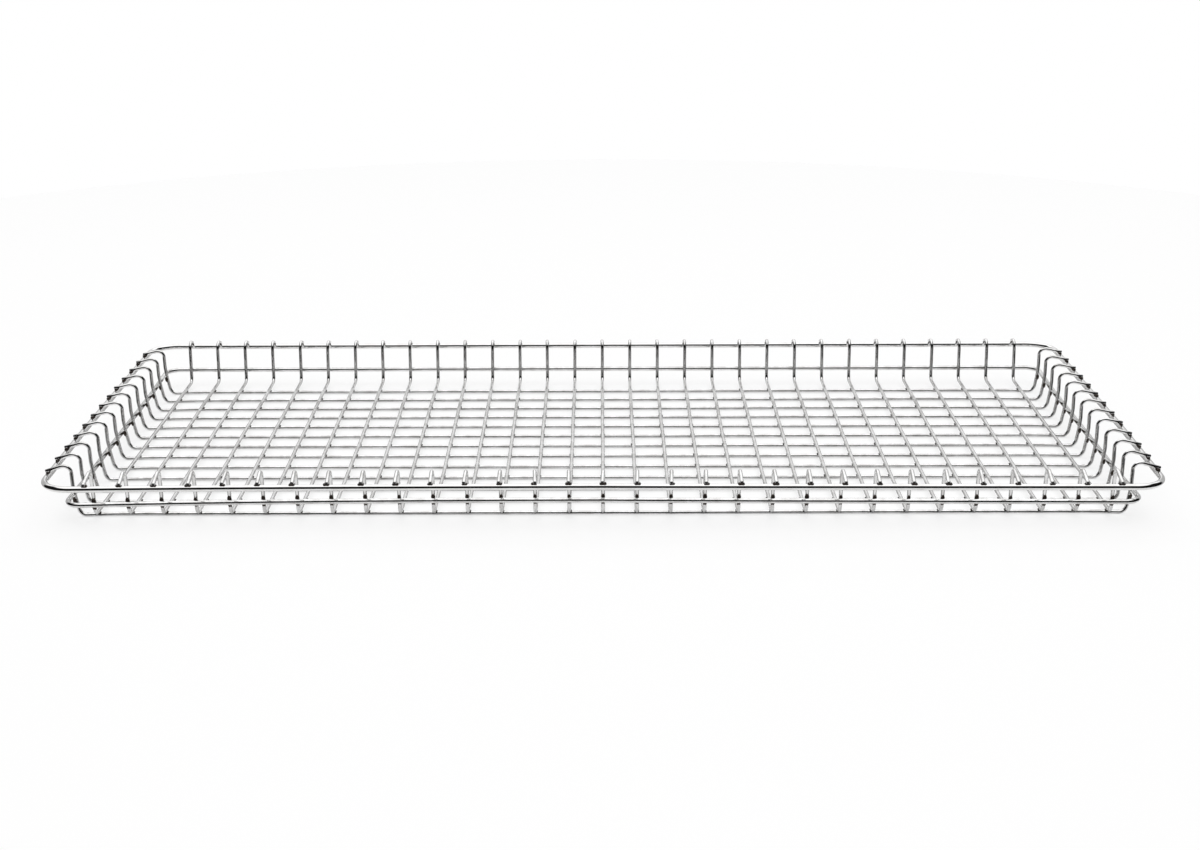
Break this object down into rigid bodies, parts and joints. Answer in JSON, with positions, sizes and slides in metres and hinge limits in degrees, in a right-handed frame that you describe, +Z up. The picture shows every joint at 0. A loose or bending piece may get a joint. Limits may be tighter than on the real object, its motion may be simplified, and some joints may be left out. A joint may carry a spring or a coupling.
{
  "type": "wire sterilization tray",
  "caption": "Shallow rectangular tray of welded steel wire: a floor mesh bent up into four leaning walls, with a ring round them and a thick rim rod under outward lips.",
  "frame": {"origin": "on the surface under the tray, below the middle of the rim", "axes": "+X along the tray, +Y towards the wall that stands further from the floor's outermost long wire, +Z up"},
  "size_m": [0.5272, 0.2384, 0.0272],
  "materials": {
    "wire_steel": "electropolished stainless wire with faint draw lines and heat tint at the welds",
    "rim_steel": "electropolished stainless rod"
  },
  "bodies": {
    "root": {"cross_wire_01": "wire_steel", "cross_wire_02": "wire_steel", "cross_wire_03": "wire_steel", "cross_wire_04": "wire_steel", "cross_wire_05": "wire_steel", "cross_wire_06": "wire_steel", "cross_wire_07": "wire_steel", "cross_wire_08": "wire_steel", "cross_wire_09": "wire_steel", "cross_wire_10": "wire_steel", "cross_wire_11": "wire_steel", "cross_wire_12": "wire_steel", "cross_wire_13": "wire_steel", "cross_wire_14": "wire_steel", "cross_wire_15": "wire_steel", "cross_wire_16": "wire_steel", "cross_wire_17": "wire_steel", "cross_wire_18": "wire_steel", "cross_wire_19": "wire_steel", "cross_wire_20": "wire_steel", "cross_wire_21": "wire_steel", "cross_wire_22": "wire_steel", "cross_wire_23": "wire_steel", "cross_wire_24": "wire_steel", "cross_wire_25": "wire_steel", "cross_wire_26": "wire_steel", "cross_wire_27": "wire_steel", "cross_wire_28": "wire_steel", "cross_wire_29": "wire_steel", "cross_wire_30": "wire_steel", "cross_wire_31": "wire_steel", "long_wire_01": "wire_steel", "long_wire_02": "wire_steel", "long_wire_03": "wire_steel", "long_wire_04": "wire_steel", "long_wire_05": "wire_steel", "long_wire_06": "wire_steel", "long_wire_07": "wire_steel", "long_wire_08": "wire_steel", "long_wire_09": "wire_steel", "long_wire_10": "wire_steel", "long_wire_11": "wire_steel", "long_wire_12": "wire_steel", "long_wire_13": "wire_steel", "rim_rod": "rim_steel", "side_ring": "wire_steel"}
  },
  "joints": []
}
